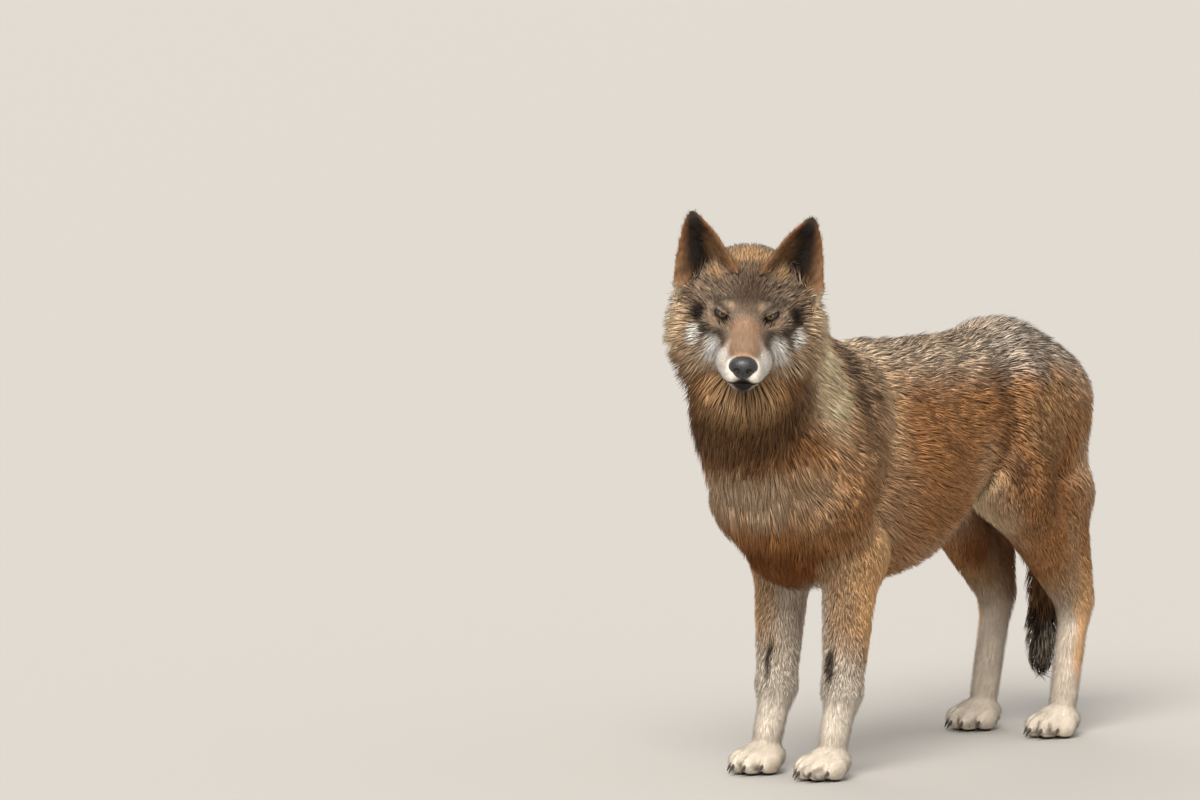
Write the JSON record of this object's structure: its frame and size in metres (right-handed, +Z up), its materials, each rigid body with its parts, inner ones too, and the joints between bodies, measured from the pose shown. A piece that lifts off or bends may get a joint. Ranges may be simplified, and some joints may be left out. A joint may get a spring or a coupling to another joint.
{
  "type": "timber wolf",
  "caption": "Standing grey wolf in full winter coat, head turned to its left and tail hanging, for use as a still life-size animal.",
  "frame": {"origin": "on the floor under the middle of the outline", "axes": "+Z up, +X the wolf's left side, -Y the way its chest faces"},
  "size_m": [0.3242, 1.1563, 0.9261],
  "materials": {
    "coat": "dense winter coat of underwool and long guard hair",
    "ear_coat": "short velvet hair",
    "pale_coat": "short pale hair",
    "nose_leather": "moist pebbled leather",
    "eye": "wet clear surface over an amber iris",
    "claw": "dark worn horn"
  },
  "bodies": {
    "root": {"trunk": "coat", "neck": "coat", "head": "coat", "tail": "coat", "left_ear": "ear_coat", "left_eye": "eye", "right_ear": "ear_coat", "right_eye": "eye", "nose": "nose_leather", "left_foreleg": "pale_coat", "left_forepaw": "pale_coat", "left_foreclaw_1": "claw", "left_foreclaw_2": "claw", "left_foreclaw_3": "claw", "left_foreclaw_4": "claw", "left_hindleg": "coat", "left_hindpaw": "pale_coat", "left_hindclaw_1": "claw", "left_hindclaw_2": "claw", "left_hindclaw_3": "claw", "left_hindclaw_4": "claw", "right_foreleg": "pale_coat", "right_forepaw": "pale_coat", "right_foreclaw_1": "claw", "right_foreclaw_2": "claw", "right_foreclaw_3": "claw", "right_foreclaw_4": "claw", "right_hindleg": "coat", "right_hindpaw": "pale_coat", "right_hindclaw_1": "claw", "right_hindclaw_2": "claw", "right_hindclaw_3": "claw", "right_hindclaw_4": "claw"}
  },
  "joints": []
}
